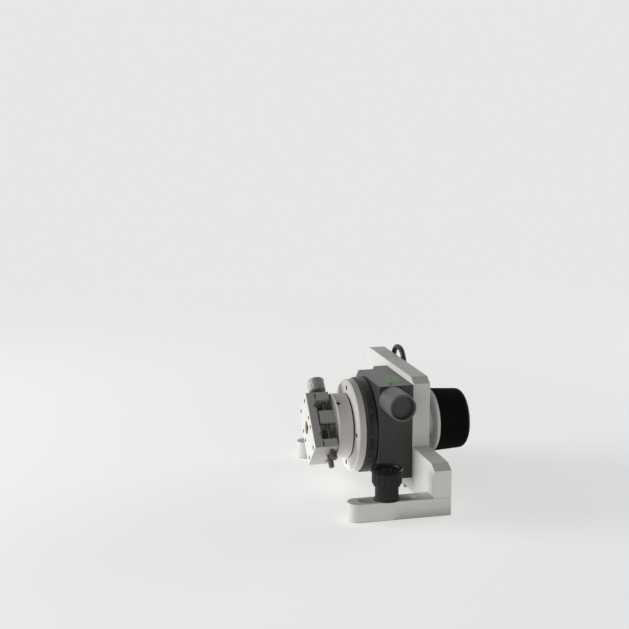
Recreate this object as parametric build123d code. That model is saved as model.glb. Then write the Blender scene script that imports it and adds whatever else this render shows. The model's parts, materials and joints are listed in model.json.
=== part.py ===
from build123d import *
import os
from math import cos, pi, radians, sin, sqrt, tan

# A hand-turned rotation stage for a measuring table, in millimetres.
#
# Frame: +Z is up and -Y is the front, where the work is held.  The origin is on
# the underside of the bracket, straight below the spindle axis and half way
# through the upright plate.  The spindle axis runs along Y.

os.makedirs("parts", exist_ok=True)

# ---------------------------------------------------------------- driving sizes
AXIS_HEIGHT = 40.3          # spindle axis above the surface the stage stands on
RUN_GAP = 0.05              # radial clearance of a shaft in its bearing
FACE_GAP = 0.3              # axial gap between faces that turn past each other
EDGE = 0.5                  # broken edges of turned pieces
BREAK = 0.3                 # broken edges of milled pieces

# upright plate
PLATE_W = 145.5
PLATE_T = 11.3
PLATE_RISE = 36.2           # top edge above the axis
SHOULDER_GAP = 0.3          # near edge of the tall part, beyond the housing
SHOULDER_DROP = 8.3         # near shoulder below the axis
CORNER_RUN = 6.0            # sloped corners, across
CORNER_DROP = 3.4           # sloped corners, down
LAND_W = 30.0               # middle land that touches the table
RELIEF = 2.6                # step up of the underside beside the land

# feet
FOOT_W = 12.7
FOOT_H = 11.6
FOOT_REACH = 52.7           # forward of the plate's front face
SLOT_W = 6.6
SLOT_LEN = 33.1
SLOT_FRONT = 8.3            # foot's tip to the slot's front end
SLOT_STEP_W = 9.0           # sunk ledge round the slot
SLOT_STEP = 1.2             # depth of that ledge
FOOT_SCREW_R = 2.0          # screws up through the feet into the plate
FOOT_HEAD_R = 3.5
FOOT_HEAD_L = 4.0
FOOT_HEAD_SUNK = 1.0
FOOT_THREAD = 12.0          # tapped depth in the plate

# gear housing
HOUSING_W = 62.0
HOUSING_D = 22.4
HOUSING_RISE = 32.3         # top face above the axis
BACK_FLANGE_D = 9.0         # rear part with the fuller far corner
FRONT_CORNER = 14.0         # far top slope of the front part
BACK_CORNER = 5.5           # far top slope of the rear part
FRONT_WALL = 5.0
HOUSING_SCREW_R = 2.0       # screws through the plate into the housing
HOUSING_HEAD_R = 3.5
HOUSING_HEAD_L = 4.0
HOUSING_THREAD = 4.5        # their grip in the housing
HOUSING_SCREW_IN = 5.0      # from the housing's edges
OIL_PLUG_R = 1.5
OIL_PLUG_L = 1.1
OIL_PLUG_SUNK = 0.3
OIL_PLUG_IN = 5.4           # from the housing's near side
OIL_PLUG_BACK = 13.0        # in front of the plate
OIL_PLUG_SLOT = 0.5

# crossed helical gears: spindle gear and encoder pinion
GEAR_TEETH = 24
PINION_TEETH = 8
GEAR_CENTRES = 23.5         # encoder axis above the spindle axis
GEAR_FACE = 6.0
PINION_FACE = 12.0
BACKLASH = 0.30             # taken off each tooth's thickness
TOOTH_ANGLE = 20.0
TOOTH_LAND = 0.12           # least half width of a tooth's tip, in modules
GEAR_CLEARANCE = 0.5        # round the tips, inside the housing
GEAR_BACK = 10.6            # plate's front face to the gear's back face

# encoder
ENC_SHAFT_R = 3.0
ENC_TUBE_R = 8.65
ENC_TUBE_LEN = 21.8         # beyond the housing's side
ENC_TUBE_BORE_R = 7.4
ENC_SPIGOT = 7.0
ENC_WALL = 2.0
ENC_END_L = 11.0            # pinion's end to the shaft bore's blind end
ENC_END_GAP = 1.0           # left free at that end
CAP_SUNK = 3.3
CAP_T = 3.0
CODE_DISC_R = 6.2
CODE_DISC_T = 1.0

# spindle and its bearings
SPINDLE_R = 8.0
SPINDLE_FLANGE_R = 14.0
BEARING_WALL = 3.0
REAR_BEARING_LEN = 8.0
SPINDLE_HOLE_GAP = 1.0      # plate's and cover's holes round the spindle
TAIL_R = 5.0                # spindle's tail through the handwheel
COVER_R = 17.0
COVER_T = 4.0

# turning table
RING_PROUD = 0.1            # ring's rim beyond the housing's sides
RING_T = 6.9
RING_BEVEL = 1.2
DISC_R = 30.0
DISC_T = 5.5
HUB_R = 21.1
HUB_L = 10.4
HUB_GROOVE = 0.8
WORK_PCD = 50.0             # work-holding holes in the table's face
WORK_HOLE_R = 1.65
WORK_HOLES = 4
HUB_SCREW_ANGLE = 31.0      # from straight up, towards +X
HUB_SCREW_R = 1.5
HUB_SCREW_BACK = 2.1        # hub's front face to the screw's axis
HUB_SCREW_SEAT = 6.0        # depth of its hole
HUB_SCREW_SUNK = 1.0

# centring slide on the hub
SLIDE_TURN = 47.0           # its travel direction, turned down from +X
PLATE_L = 39.5              # front plate along the travel
PLATE_H = 25.0
PLATE_FRONT_T = 5.4
PLATE_OFF = 1.0             # front plate's middle from the spindle axis
END_BLOCK_L = 5.6
END_BLOCK_D = 9.8
BLOCK_GAP = 1.0             # end blocks' faces to the hub
SADDLE_L = 8.6
SADDLE_OFF = -0.9
SADDLE_GAP = 1.1            # saddle's face to the plate's back
ROD_R = 1.5
ROD_SPREAD = 8.0            # guide rods from the middle, each side
ROD_OUT = 4.6               # rods and lead screw in front of the hub
SCREW_R = 1.85              # lead screw
KNOB_R = 5.5
KNOB_L = 9.0
NECK_R = 3.4
NECK_L = 6.6
TAIL_OUT = 8.5              # screw's end beyond the lower end block
SLIT_D = 1.0                # shallow slot across each end block's front
SLIT_W = 3.8
NOTCH_AT = (-9.3, 11.5)     # V-shaped grooves across the front plate's back
NOTCH_W = 4.4
NOTCH_D = 1.8
BUSH_R = 4.3
BUSH_BORE_R = 2.0
BUSH_SUNK = 0.5
PLATE_SCREW_R = 1.5
PLATE_SCREW_Z = 7.0
PLATE_SCREW_GRIP = 3.0
PLATE_SCREW_SUNK = 0.6
CLIP_HOLE_R = 1.25          # small holes for specimen clips
CLIP_HOLE_X = 3.4           # from the front plate's middle
CLIP_HOLE_Z = 9.3
LOCK_R = 2.2
LOCK_L = 5.0
LOCK_TIP_R = 1.4
LOCK_GRIP = 3.0
LOCK_Z = 4.5

# handwheel
WHEEL_GAP = 9.6             # plate's back face to the wheel's front face
WHEEL_R = 20.8
WHEEL_REAR_R = 19.8
WHEEL_L = 23.6
WHEEL_FACE_T = 1.8
WHEEL_HUB_R = 10.0
WHEEL_ROUND = 4.0
RIBS = 90
RIB_DEPTH = 0.35
NUT_R = 8.0                 # spindle nut, across its corners from the middle
NUT_T = 3.5
NUT_SUNK = 6.0              # floor of the rear recess, from the wheel's rear
WHEEL_RECESS_R = 12.0

# clamp screws on the feet
CLAMP_R = 9.7               # head's upper rim
CLAMP_BODY_R = 9.2          # fluted part below it
CLAMP_HEAD_L = 11.2
CLAMP_RIM_T = 2.2
CLAMP_FOOT_T = 2.0          # plain step below the flutes
CLAMP_FOOT_R = 8.3
CLAMP_NECK_R = 7.2
CLAMP_FLARE_R = 7.9         # collar's foot
CLAMP_NECK_L = 8.5
CLAMP_SHANK_R = 3.0
CLAMP_DISH_R = 7.9
CLAMP_DISH = 1.2
CLAMP_BOSS_R = 2.6          # small boss in the dish
CLAMP_BOSS_L = 0.6
FLUTES = 16
FLUTE_R = 1.1
FLUTE_DEPTH = 0.5

# lead from the encoder, looped over the back of the plate
LEAD_R = 1.8
LEAD_OUT = 3.4              # lead's middle behind the plate's back face
LEAD_IN = 1.0               # near end, beyond the housing's far side
LEAD_SPAN = 25.0
LEAD_CREST = 3.9            # lead's middle at the top of the loop, above the plate
LEAD_DIP = 12.0             # lead's ends below the plate's top edge
LEAD_BEND = 0.48            # radius of the arch's corners, part of the span
GLAND_R = 3.2
GLAND_W = 8.0
GLAND_H = 9.0
GLAND_STEP = 1.0            # boss above its block

# -------------------------------------------------------------- derived places
FRONT_Y = -PLATE_T / 2                      # plate's front face
BACK_Y = PLATE_T / 2
PLATE_TOP = AXIS_HEIGHT + PLATE_RISE
SHOULDER_Z = AXIS_HEIGHT - SHOULDER_DROP
SHOULDER_X = HOUSING_W / 2 + SHOULDER_GAP
HOUSING_FRONT_Y = FRONT_Y - HOUSING_D
HOUSING_TOP = AXIS_HEIGHT + HOUSING_RISE
RING_R = HOUSING_W / 2 + RING_PROUD
RING_BACK_Y = HOUSING_FRONT_Y - FACE_GAP
DISC_BACK_Y = RING_BACK_Y - RING_T
DISC_FRONT_Y = DISC_BACK_Y - DISC_T
HUB_FRONT_Y = DISC_FRONT_Y - HUB_L
FOOT_X = PLATE_W / 2 - FOOT_W / 2
SLOT_Y = FRONT_Y - FOOT_REACH + SLOT_FRONT + SLOT_LEN / 2
GEAR_Y = FRONT_Y - GEAR_BACK - GEAR_FACE / 2
ENC_Z = AXIS_HEIGHT + GEAR_CENTRES
WHEEL_Y = BACK_Y + WHEEL_GAP
WHEEL_END_Y = WHEEL_Y + WHEEL_L
NUT_SEAT_Y = WHEEL_END_Y - NUT_SUNK
TAIL_END_Y = NUT_SEAT_Y + NUT_T
BEARING_R = SPINDLE_R + BEARING_WALL
SPINDLE_HOLE_R = SPINDLE_R + SPINDLE_HOLE_GAP

# both gears have a 45 degree helix, so the normal module follows the centres
NORMAL_MODULE = GEAR_CENTRES * sqrt(2) / (GEAR_TEETH + PINION_TEETH)
TIP = NORMAL_MODULE
ROOT = 1.25 * NORMAL_MODULE
GEAR_R = GEAR_TEETH * NORMAL_MODULE / sqrt(2)
PINION_R = PINION_TEETH * NORMAL_MODULE / sqrt(2)
CAVITY_R = GEAR_R + TIP + GEAR_CLEARANCE
PINION_BORE_R = PINION_R + TIP + GEAR_CLEARANCE
ENC_END = PINION_FACE / 2 + ENC_END_L       # blind end of the shaft's far bearing
ENC_X = HOUSING_W / 2                       # housing's near side
ENC_TIP_X = ENC_X + ENC_TUBE_LEN
CAP_X = ENC_TIP_X - CAP_SUNK
OIL_PLUG_X = HOUSING_W / 2 - OIL_PLUG_IN
OIL_PLUG_Y = FRONT_Y - OIL_PLUG_BACK

# in the slide's own axes X is the travel, Y the spindle's direction, Z across
PLATE_BACK_Y = HUB_FRONT_Y - BLOCK_GAP - END_BLOCK_D
PLATE_FACE_Y = PLATE_BACK_Y - PLATE_FRONT_T
PLATE_X0 = PLATE_OFF - PLATE_L / 2
PLATE_X1 = PLATE_OFF + PLATE_L / 2
ROD_Y = HUB_FRONT_Y - ROD_OUT
SADDLE_X0 = SADDLE_OFF - SADDLE_L / 2
SADDLE_X1 = SADDLE_OFF + SADDLE_L / 2
LOCK_Y = HUB_FRONT_Y - BLOCK_GAP - LOCK_R

LEAD_Y = BACK_Y + LEAD_OUT
LEAD_END_Z = PLATE_TOP - LEAD_DIP
LEAD_TOP_Z = PLATE_TOP + LEAD_CREST
GLAND_X = -HOUSING_W / 2 - LEAD_IN
SOCKET_X = GLAND_X - LEAD_SPAN

AXIS = Pos(0, 0, AXIS_HEIGHT)
SLIDE = AXIS * Rot(0, SLIDE_TURN, 0)        # the slide's own axes, X along its travel


# ------------------------------------------------------------------- shared forms
def block(x0, x1, y0, y1, z0, z1):
    """A box between two corners."""
    size = (x1 - x0, y1 - y0, z1 - z0)
    return Pos((x0 + x1) / 2, (y0 + y1) / 2, (z0 + z1) / 2) * Box(*size)


def along_y(radius, y0, y1, x=0, z=0):
    """A round bar along Y."""
    return Pos(x, (y0 + y1) / 2, z) * Rot(90, 0, 0) * Cylinder(radius, abs(y1 - y0))


def along_x(radius, x0, x1, y=0, z=0):
    """A round bar along X."""
    return Pos((x0 + x1) / 2, y, z) * Rot(0, 90, 0) * Cylinder(radius, abs(x1 - x0))


def along_z(radius, z0, z1, x=0, y=0):
    """A round bar along Z."""
    return Pos(x, y, (z0 + z1) / 2) * Cylinder(radius, abs(z1 - z0))


def turned(*profile):
    """A solid turned about Y from (y, radius) corners."""
    outline = [(radius, y) for y, radius in profile]
    face = make_face(Polyline(*outline, close=True))
    return revolve(face, Axis.Y)


def ring_of(count, radius, start=0.0):
    """Places round the spindle axis, facing along it."""
    for step in range(count):
        yield AXIS * Rot(0, start + 360.0 * step / count, 0) * Pos(0, 0, radius)


def toothed(teeth, pitch_r, face):
    """A 45 degree helical gear about Z, middle at the origin, a tooth space on +X there."""
    module = 2 * pitch_r / teeth
    half = pi * module / 4 - BACKLASH / 2 * sqrt(2)
    slope = tan(radians(TOOTH_ANGLE)) * sqrt(2)
    root_r = pitch_r - ROOT
    tip_r = pitch_r + TIP
    points = []
    for tooth in range(teeth):
        middle = 2 * pi * (tooth + 0.5) / teeth
        for radius, side in ((root_r, -1), (tip_r, -1), (tip_r, 1), (root_r, 1)):
            width = half - (radius - pitch_r) * slope
            angle = middle + side * max(width, TOOTH_LAND * module) / radius
            points.append((radius * cos(angle), radius * sin(angle)))
    section = make_face(Polyline(*points, close=True))
    twist = face / 2 / pitch_r * 180 / pi
    halves = []
    for way in (1, -1):
        depth = Vector(0, 0, way * face / 2)
        halves.append(Solid.extrude_linear_with_rotation(section.face(), (0, 0, 0), depth, twist))
    return halves[0] + halves[1]


# ------------------------------------------------------------------------ bracket
def make_upright_plate():
    """Tall plate with a low shoulder on the near side and feet let into its base."""
    half = PLATE_W / 2
    near = half - CORNER_RUN
    tall = SHOULDER_X - CORNER_RUN
    foot = half - FOOT_W
    outline = [
        (-foot, RELIEF), (-LAND_W / 2, RELIEF), (-LAND_W / 2, 0), (LAND_W / 2, 0),
        (LAND_W / 2, RELIEF), (foot, RELIEF), (foot, FOOT_H), (half, FOOT_H),
        (half, SHOULDER_Z - CORNER_DROP), (near, SHOULDER_Z), (SHOULDER_X, SHOULDER_Z),
        (SHOULDER_X, PLATE_TOP - CORNER_DROP), (tall, PLATE_TOP), (-near, PLATE_TOP),
        (-half, PLATE_TOP - CORNER_DROP), (-half, FOOT_H), (-foot, FOOT_H),
    ]
    face = make_face(Plane.XZ * Polyline(*outline, close=True))
    plate = extrude(face, PLATE_T / 2, both=True)
    layers = plate.edges().group_by(Axis.Y)
    rims = [edge for edge in layers[0] + layers[-1] if edge.center().Z > FOOT_H - BREAK]
    plate = chamfer(rims, BREAK)
    plate -= AXIS * along_y(BEARING_R, FRONT_Y, FRONT_Y + REAR_BEARING_LEN)
    plate -= AXIS * along_y(SPINDLE_HOLE_R, FRONT_Y, BACK_Y)
    for x, z in housing_screw_places():
        plate -= along_y(HOUSING_SCREW_R, FRONT_Y, BACK_Y, x, z)
        plate -= along_y(HOUSING_HEAD_R, BACK_Y - HOUSING_HEAD_L, BACK_Y, x, z)
    for side in (-1, 1):
        plate -= along_z(FOOT_SCREW_R, FOOT_H, FOOT_H + FOOT_THREAD, side * FOOT_X)
    return plate


def housing_screw_places():
    """The four screws that hold the housing, (x, z)."""
    x = HOUSING_W / 2 - HOUSING_SCREW_IN
    for side in (-1, 1):
        yield side * x, FOOT_H + HOUSING_SCREW_IN
        yield side * x, HOUSING_TOP - BACK_CORNER - HOUSING_SCREW_IN


def make_foot(side):
    """Slotted foot with a round nose, which runs back under the plate."""
    x = side * FOOT_X
    nose = FRONT_Y - FOOT_REACH + FOOT_W / 2
    bar = block(x - FOOT_W / 2, x + FOOT_W / 2, nose, BACK_Y, 0, FOOT_H)
    bar += along_z(FOOT_W / 2, 0, FOOT_H, x, nose)
    layers = bar.edges().group_by(Axis.Z)
    bar = chamfer(layers[0] + layers[-1], BREAK)
    bar -= slot_cut(x, SLOT_W, SLOT_LEN, 0, FOOT_H)
    step_len = SLOT_LEN + SLOT_STEP_W - SLOT_W
    bar -= slot_cut(x, SLOT_STEP_W, step_len, FOOT_H - SLOT_STEP, FOOT_H)
    bar -= along_z(FOOT_SCREW_R, 0, FOOT_H, x)
    bar -= along_z(FOOT_HEAD_R, 0, FOOT_HEAD_L + FOOT_HEAD_SUNK, x)
    return bar


def slot_cut(x, width, length, z0, z1):
    """A round-ended slot along Y in a foot."""
    reach = (length - width) / 2
    cut = block(x - width / 2, x + width / 2, SLOT_Y - reach, SLOT_Y + reach, z0, z1)
    for end in (-reach, reach):
        cut += along_z(width / 2, z0, z1, x, SLOT_Y + end)
    return cut


def cap_screw(shank_r, head_r, head_l, shank_l):
    """A socket head screw along Z: head above the origin, shank below it."""
    screw = along_z(head_r, 0, head_l)
    screw = chamfer(screw.edges().group_by(Axis.Z)[-1], BREAK)
    screw += along_z(shank_r, -shank_l, 0)
    socket = extrude(RegularPolygon(head_r / 2, 6), head_l / 2)
    return screw - Pos(0, 0, head_l / 2) * socket


def make_foot_screws():
    """Two socket head screws up through the feet into the plate."""
    seat = FOOT_HEAD_L + FOOT_HEAD_SUNK
    length = FOOT_H - seat + FOOT_THREAD - FOOT_HEAD_SUNK
    screw = Rot(180, 0, 0) * cap_screw(FOOT_SCREW_R, FOOT_HEAD_R, FOOT_HEAD_L, length)
    return Compound([Pos(side * FOOT_X, 0, seat) * screw for side in (-1, 1)])


def make_housing_screws():
    """Four socket head screws through the plate into the gear housing."""
    length = PLATE_T - HOUSING_HEAD_L + HOUSING_THREAD
    screw = cap_screw(HOUSING_SCREW_R, HOUSING_HEAD_R, HOUSING_HEAD_L, length)
    seat = BACK_Y - HOUSING_HEAD_L
    return Compound([Pos(x, seat, z) * Rot(-90, 0, 0) * screw for x, z in housing_screw_places()])


# ------------------------------------------------------------------- gear housing
def housing_section(corner, y0, y1):
    """The housing's outline with one sloped far top corner, between two depths."""
    half = HOUSING_W / 2
    outline = [
        (-half, FOOT_H), (half, FOOT_H), (half, HOUSING_TOP),
        (-half + corner, HOUSING_TOP), (-half, HOUSING_TOP - corner),
    ]
    face = make_face(Plane.XZ * Polyline(*outline, close=True))
    return Pos(0, y1, 0) * extrude(face, y1 - y0)


def make_gear_housing():
    """Closed block with the spindle bore, the gear cavity and the encoder bore."""
    middle = FRONT_Y - BACK_FLANGE_D
    body = housing_section(BACK_CORNER, middle, FRONT_Y)
    front = housing_section(FRONT_CORNER, HOUSING_FRONT_Y, middle)
    body += chamfer(front.edges().group_by(Axis.Y)[0], BREAK)
    body -= AXIS * along_y(CAVITY_R, HOUSING_FRONT_Y + FRONT_WALL, FRONT_Y)
    body -= AXIS * along_y(BEARING_R, HOUSING_FRONT_Y, FRONT_Y)
    half = HOUSING_W / 2
    body -= along_x(PINION_BORE_R, -PINION_FACE / 2 - 1, half, GEAR_Y, ENC_Z)
    body -= along_x(ENC_SHAFT_R + RUN_GAP, -ENC_END, half, GEAR_Y, ENC_Z)
    for x, z in housing_screw_places():
        body -= along_y(HOUSING_SCREW_R, FRONT_Y - HOUSING_THREAD, FRONT_Y, x, z)
    body -= along_z(OIL_PLUG_R, HOUSING_TOP - OIL_PLUG_L, HOUSING_TOP, OIL_PLUG_X, OIL_PLUG_Y)
    return body


def make_oil_plug():
    """Small slotted plug, just below the housing's top face."""
    top = HOUSING_TOP - OIL_PLUG_SUNK
    plug = along_z(OIL_PLUG_R, HOUSING_TOP - OIL_PLUG_L, top, OIL_PLUG_X, OIL_PLUG_Y)
    cut = Pos(OIL_PLUG_X, OIL_PLUG_Y, top) * Box(2 * OIL_PLUG_R, OIL_PLUG_SLOT, OIL_PLUG_SUNK)
    return plug - cut


def make_front_bearing():
    """Plain bearing in the housing's front wall."""
    sleeve = along_y(BEARING_R, HOUSING_FRONT_Y, HOUSING_FRONT_Y + FRONT_WALL)
    return AXIS * (sleeve - along_y(SPINDLE_R + RUN_GAP, HOUSING_FRONT_Y, FRONT_Y))


def make_rear_bearing():
    """Plain bearing in the upright plate."""
    sleeve = along_y(BEARING_R, FRONT_Y, FRONT_Y + REAR_BEARING_LEN)
    return AXIS * (sleeve - along_y(SPINDLE_R + RUN_GAP, FRONT_Y, BACK_Y))


def make_bearing_cover():
    """Turned cover over the rear bearing, on the plate's back."""
    cover = turned(
        (BACK_Y, SPINDLE_HOLE_R), (BACK_Y, COVER_R), (BACK_Y + COVER_T - EDGE, COVER_R),
        (BACK_Y + COVER_T, COVER_R - EDGE), (BACK_Y + COVER_T, SPINDLE_HOLE_R),
    )
    return AXIS * cover


# ------------------------------------------------------------------------ encoder
def make_encoder_tube():
    """Tube on the housing's near side, with a spigot that carries the shaft."""
    tube = along_x(ENC_TUBE_R, ENC_X, ENC_TIP_X)
    tube = chamfer(tube.edges().group_by(Axis.X)[-1], EDGE)
    tube += along_x(PINION_BORE_R, ENC_X - ENC_SPIGOT, ENC_X)
    tube -= along_x(ENC_TUBE_BORE_R, ENC_X + ENC_WALL, ENC_TIP_X)
    tube -= along_x(ENC_SHAFT_R + RUN_GAP, ENC_X - ENC_SPIGOT, ENC_TIP_X)
    return Pos(0, GEAR_Y, ENC_Z) * tube


def make_encoder_cap():
    """Disc that closes the tube, set back from its rim."""
    cap = along_x(ENC_TUBE_BORE_R, CAP_X - CAP_T, CAP_X)
    cap = chamfer(cap.edges().group_by(Axis.X)[-1], EDGE)
    return Pos(0, GEAR_Y, ENC_Z) * cap


def make_encoder_shaft():
    """Shaft with the pinion cut on it, from the blind bearing to the code disc."""
    start = -ENC_END + ENC_END_GAP
    end = CAP_X - CAP_T - 2 * FACE_GAP
    shaft = along_x(ENC_SHAFT_R, start, end, GEAR_Y, ENC_Z)
    # a tooth faces down at the middle, into the gear's top space
    turn = 180.0 / PINION_TEETH
    pinion = toothed(PINION_TEETH, PINION_R, PINION_FACE)
    pinion = Pos(0, GEAR_Y, ENC_Z) * Rot(0, 90, 0) * Rot(0, 0, turn) * pinion
    return shaft + pinion


def make_code_disc():
    """Thin code disc on the end of the encoder shaft."""
    back = CAP_X - CAP_T - 4 * CODE_DISC_T
    disc = along_x(CODE_DISC_R, back, back + CODE_DISC_T)
    disc -= along_x(ENC_SHAFT_R, back, back + CODE_DISC_T)
    return Pos(0, GEAR_Y, ENC_Z) * disc


# ------------------------------------------------------------------ turning table
def make_spindle():
    """Spindle with its front flange and a thinner tail for the handwheel."""
    spindle = turned(
        (DISC_BACK_Y, 0), (DISC_BACK_Y, SPINDLE_FLANGE_R), (RING_BACK_Y, SPINDLE_FLANGE_R),
        (RING_BACK_Y, SPINDLE_R), (WHEEL_Y, SPINDLE_R), (WHEEL_Y, TAIL_R),
        (TAIL_END_Y, TAIL_R), (TAIL_END_Y, 0),
    )
    return AXIS * spindle


def make_spindle_gear():
    """Helical gear on the spindle, inside the housing."""
    gear = toothed(GEAR_TEETH, GEAR_R, GEAR_FACE)
    gear = Pos(0, GEAR_Y, 0) * Rot(-90, 0, 0) * Rot(0, 0, -90) * gear
    gear -= along_y(SPINDLE_R, GEAR_Y - GEAR_FACE, GEAR_Y + GEAR_FACE)
    return AXIS * gear


def make_scale_ring():
    """Black graduated ring behind the table, with a bevelled front rim."""
    ring = turned(
        (RING_BACK_Y, SPINDLE_FLANGE_R), (RING_BACK_Y, RING_R - EDGE),
        (RING_BACK_Y - EDGE, RING_R), (DISC_BACK_Y + RING_BEVEL, RING_R),
        (DISC_BACK_Y, RING_R - RING_BEVEL), (DISC_BACK_Y, SPINDLE_FLANGE_R),
    )
    return AXIS * ring


def make_table_disc():
    """Bright table with its ring of work-holding holes."""
    disc = turned(
        (DISC_BACK_Y, 0), (DISC_BACK_Y, DISC_R - EDGE), (DISC_BACK_Y - EDGE, DISC_R),
        (DISC_FRONT_Y + 2 * EDGE, DISC_R), (DISC_FRONT_Y, DISC_R - 2 * EDGE), (DISC_FRONT_Y, 0),
    )
    disc = AXIS * disc
    for place in ring_of(WORK_HOLES, WORK_PCD / 2):
        disc -= place * along_y(WORK_HOLE_R, DISC_FRONT_Y, DISC_BACK_Y)
    return disc


def make_hub():
    """Stepped hub in front of the table, with a groove at its root."""
    root = HUB_R - HUB_GROOVE
    hub = turned(
        (DISC_FRONT_Y, 0), (DISC_FRONT_Y, root), (DISC_FRONT_Y - HUB_GROOVE, root),
        (DISC_FRONT_Y - HUB_GROOVE, HUB_R), (HUB_FRONT_Y + EDGE, HUB_R),
        (HUB_FRONT_Y, HUB_R - EDGE), (HUB_FRONT_Y, 0),
    )
    hub = AXIS * hub
    return hub - hub_screw_bar(HUB_SCREW_R, HUB_R)


def hub_screw_bar(radius, top):
    """A radial bar at the hub's set screw, from its seat out to a radius."""
    y = HUB_FRONT_Y + HUB_SCREW_BACK
    return AXIS * Rot(0, HUB_SCREW_ANGLE, 0) * along_z(radius, HUB_R - HUB_SCREW_SEAT, top, 0, y)


def make_hub_screw():
    """Socket set screw, sunk in the hub's side."""
    screw = hub_screw_bar(HUB_SCREW_R, HUB_R - HUB_SCREW_SUNK)
    return screw - hub_screw_bar(HUB_SCREW_R / 2, HUB_R)


# ----------------------------------------------------------------- centring slide
def make_slide_saddle():
    """Middle block on the hub, which the guide rods run through."""
    y0 = PLATE_BACK_Y + SADDLE_GAP
    saddle = block(SADDLE_X0, SADDLE_X1, y0, HUB_FRONT_Y, -PLATE_H / 2, PLATE_H / 2)
    saddle = chamfer(saddle.edges().group_by(Axis.Y)[0], BREAK)
    for z in (-ROD_SPREAD, ROD_SPREAD):
        saddle -= along_x(ROD_R + RUN_GAP, SADDLE_X0, SADDLE_X1, ROD_Y, z)
    saddle -= along_x(SCREW_R + RUN_GAP, SADDLE_X0, SADDLE_X1, ROD_Y, 0)
    return SLIDE * saddle


def make_slide_plate():
    """Front plate with the bush hole in its middle and a screw hole at each corner."""
    plate = block(PLATE_X0, PLATE_X1, PLATE_FACE_Y, PLATE_BACK_Y, -PLATE_H / 2, PLATE_H / 2)
    plate = chamfer(plate.edges().group_by(Axis.Y)[0], BREAK)
    for x in NOTCH_AT:
        plate -= notch(x)
    plate -= along_y(BUSH_R, PLATE_FACE_Y, PLATE_BACK_Y, 0, 0)
    for x, z in plate_screw_places():
        plate -= along_y(PLATE_SCREW_R, PLATE_FACE_Y, PLATE_BACK_Y, x, z)
    for x in (PLATE_OFF - CLIP_HOLE_X, PLATE_OFF + CLIP_HOLE_X):
        for z in (-CLIP_HOLE_Z, CLIP_HOLE_Z):
            plate -= along_y(CLIP_HOLE_R, PLATE_FACE_Y, PLATE_BACK_Y, x, z)
    return SLIDE * plate


def notch(x):
    """A V-shaped groove across the front plate's back."""
    corners = (
        (x - NOTCH_W / 2, PLATE_BACK_Y), (x, PLATE_BACK_Y - NOTCH_D), (x + NOTCH_W / 2, PLATE_BACK_Y),
    )
    face = make_face(Polyline(*corners, close=True))
    return extrude(face, PLATE_H / 2, both=True)


def plate_screw_places():
    """The four screws that hold the front plate to its end blocks."""
    for x in (PLATE_X0 + END_BLOCK_L / 2, PLATE_X1 - END_BLOCK_L / 2):
        for z in (-PLATE_SCREW_Z, PLATE_SCREW_Z):
            yield x, z


def make_end_block(x0):
    """End block behind the front plate, which holds the rods and the lead screw."""
    x1 = x0 + END_BLOCK_L
    middle = (x0 + x1) / 2
    slit = (middle - SLIT_W / 2, middle + SLIT_W / 2)
    back = PLATE_BACK_Y + END_BLOCK_D
    end = block(x0, x1, PLATE_BACK_Y, back, -PLATE_H / 2, PLATE_H / 2)
    end = chamfer(end.edges().group_by(Axis.Y)[-1], BREAK)
    end -= block(*slit, PLATE_BACK_Y, PLATE_BACK_Y + SLIT_D, -PLATE_H / 2, PLATE_H / 2)
    for z in (-ROD_SPREAD, ROD_SPREAD):
        end -= along_x(ROD_R, x0, x1, ROD_Y, z)
    end -= along_x(SCREW_R + RUN_GAP, x0, x1, ROD_Y, 0)
    for x, z in plate_screw_places():
        if x0 < x < x1:
            end -= along_y(PLATE_SCREW_R, PLATE_BACK_Y, PLATE_BACK_Y + PLATE_SCREW_GRIP, x, z)
    return end


def make_upper_end_block():
    """End block at the knob's end."""
    return SLIDE * make_end_block(PLATE_X0)


def make_lower_end_block():
    """End block at the lower end, tapped for the lock screw."""
    end = make_end_block(PLATE_X1 - END_BLOCK_L)
    return SLIDE * (end - along_x(LOCK_TIP_R, PLATE_X1 - LOCK_GRIP, PLATE_X1, LOCK_Y, LOCK_Z))


def make_slide_screws():
    """Four screws in the front plate's corners, their heads below its face."""
    y0 = PLATE_FACE_Y + PLATE_SCREW_SUNK
    y1 = PLATE_BACK_Y + PLATE_SCREW_GRIP
    return SLIDE * Compound([along_y(PLATE_SCREW_R, y0, y1, x, z) for x, z in plate_screw_places()])


def make_guide_rods():
    """Two ground rods between the end blocks."""
    rods = [along_x(ROD_R, PLATE_X0, PLATE_X1, ROD_Y, z) for z in (-ROD_SPREAD, ROD_SPREAD)]
    return SLIDE * Compound(rods)


def make_slide_bush():
    """Brass locating bush in the front plate."""
    bush = along_y(BUSH_R, PLATE_FACE_Y + BUSH_SUNK, PLATE_BACK_Y)
    bush -= along_y(BUSH_BORE_R, PLATE_FACE_Y, PLATE_BACK_Y)
    return SLIDE * bush


def make_lead_screw():
    """Lead screw with its neck and knurled knob at the upper end."""
    neck_x = PLATE_X0 - NECK_L
    screw = along_x(SCREW_R, neck_x, PLATE_X1 + TAIL_OUT, ROD_Y)
    screw = chamfer(screw.edges().group_by(Axis.X)[-1], EDGE)
    screw += along_x(NECK_R, neck_x, PLATE_X0 - FACE_GAP, ROD_Y)
    knob = along_x(KNOB_R, neck_x - KNOB_L, neck_x, ROD_Y)
    knob = chamfer(knob.edges().filter_by(GeomType.CIRCLE), EDGE)
    return SLIDE * (screw + knob)


def make_lock_screw():
    """Small screw in the lower end block that locks the slide."""
    screw = along_x(LOCK_R, PLATE_X1, PLATE_X1 + LOCK_L, LOCK_Y, LOCK_Z)
    screw = chamfer(screw.edges().group_by(Axis.X)[-1], BREAK)
    screw += along_x(LOCK_TIP_R, PLATE_X1 - LOCK_GRIP, PLATE_X1, LOCK_Y, LOCK_Z)
    return SLIDE * screw


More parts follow.
